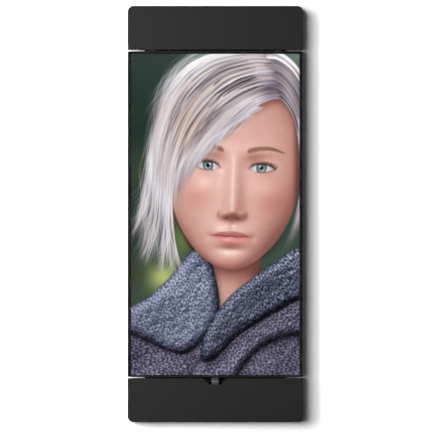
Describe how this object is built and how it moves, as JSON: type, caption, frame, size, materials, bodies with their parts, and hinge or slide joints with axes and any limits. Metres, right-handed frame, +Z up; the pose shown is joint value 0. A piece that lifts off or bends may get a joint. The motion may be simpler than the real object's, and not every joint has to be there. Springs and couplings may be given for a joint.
{
  "type": "digital photo frame",
  "caption": "Slim upright wall-mounted digital photo frame: a picture display held between two rounded dark metal end covers, lifting out against a spring clamp.",
  "frame": {"origin": "middle of the wall face of the dock, in the plane that lies on the wall", "axes": "+X to the right as seen from the front, +Y into the wall, +Z up; the picture faces -Y"},
  "size_m": [0.17, 0.019, 0.4036],
  "materials": {
    "cover_aluminium": "matte charcoal anodised casting",
    "chassis_steel": "black powder coat on folded steel sheet",
    "bracket_steel": "black zinc plate on steel sheet",
    "hook_steel": "blackened spring steel",
    "rod_steel": "ground and plated steel",
    "spring_steel": "bright spring wire",
    "screw_steel": "zinc plated",
    "felt": "black felt strip",
    "rubber": "black rubber",
    "bush_plastic": "natural acetal",
    "plug_plastic": "dark grey moulded plastic",
    "holder_plastic": "black moulded plastic",
    "contact_metal": "gold plated contacts on a grey tongue",
    "lead_jacket": "black cable jacket",
    "board_green": "green solder mask",
    "board_black": "dark solder mask",
    "connector_plastic": "cream moulded plastic",
    "component_dark": "dark component bodies",
    "housing_aluminium": "dark anodised tray",
    "front_glass": "polished glass with a black printed border",
    "panel_glass": "display panel, lit",
    "backlight_white": "white backlight stack",
    "plate_aluminium": "mill finish sheet",
    "cell_foil": "foil pouch",
    "shield_steel": "tinned steel cans",
    "speaker_plastic": "black speaker boxes",
    "port_steel": "nickel plated shell of the port and ring of the plug",
    "button_aluminium": "dark anodised"
  },
  "bodies": {
    "wall_dock": {"dock_chassis": "chassis_steel", "slide_strip_left": "felt", "slide_strip_right": "felt", "guide_rod_left": "rod_steel", "guide_rod_right": "rod_steel", "clamp_spring_left": "spring_steel", "clamp_spring_right": "spring_steel", "lower_bracket": "bracket_steel", "bracket_screws": "screw_steel", "lower_hook_left": "hook_steel", "lower_hook_right": "hook_steel", "lower_hook_screws": "screw_steel", "cover_clips": "spring_steel", "plug_collar": "plug_plastic", "plug_ring": "port_steel", "plug_tongue": "contact_metal", "plug_boot": "plug_plastic", "plug_holder": "holder_plastic", "holder_screws": "screw_steel", "charging_lead": "lead_jacket", "lead_clip": "holder_plastic", "power_board": "board_green", "board_screws": "screw_steel", "lead_connector": "connector_plastic", "terminal_block": "connector_plastic", "power_parts": "component_dark"},
    "spring_clamp": {"guide_bush_left": "bush_plastic", "guide_bush_right": "bush_plastic", "clamp_carriage": "bracket_steel", "bush_screws": "screw_steel", "clamp_hook_left": "hook_steel", "clamp_hook_right": "hook_steel", "hook_pads": "rubber", "top_cover": "cover_aluminium", "cover_screws": "screw_steel"},
    "lower_cover": {"bottom_cover": "cover_aluminium"},
    "display_unit": {"rear_housing": "housing_aluminium", "cover_glass": "front_glass", "lcd_panel": "panel_glass", "backlight": "backlight_white", "support_plate": "plate_aluminium", "housing_screws": "screw_steel", "battery_left": "cell_foil", "battery_right": "cell_foil", "main_board": "board_black", "board_shields": "shield_steel", "speaker_left": "speaker_plastic", "speaker_right": "speaker_plastic", "charging_port": "port_steel", "port_board": "board_black", "button_switches": "component_dark"},
    "power_key": {"power_button": "button_aluminium"},
    "volume_key": {"volume_rocker": "button_aluminium"}
  },
  "joints": [
    {"name": "display_lift", "type": "slide", "parent": "wall_dock", "child": "display_unit", "axis": [0, 0, 1], "range_m": [0, 0.0085]},
    {"name": "clamp_slide", "type": "slide", "parent": "wall_dock", "child": "spring_clamp", "axis": [0, 0, 1], "range_m": [0, 0.0085], "stiffness_N_per_m": 700, "springref_m": -0.012, "deforming": ["clamp_spring_left", "clamp_spring_right"]},
    {"name": "lower_cover_pull", "type": "slide", "parent": "wall_dock", "child": "lower_cover", "axis": [0, -1, 0], "range_m": [0, 0.025]},
    {"name": "power_button_press", "type": "slide", "parent": "display_unit", "child": "power_key", "axis": [-1, 0, 0], "range_m": [0, 0.0004], "stiffness_N_per_m": 2000, "springref_m": -0.0002},
    {"name": "volume_rocker_press", "type": "slide", "parent": "display_unit", "child": "volume_key", "axis": [-1, 0, 0], "range_m": [0, 0.0004], "stiffness_N_per_m": 2000, "springref_m": -0.0002}
  ],
  "couplings": [
    {"joint": "clamp_slide", "follows": "display_lift", "ratio": 1}
  ]
}
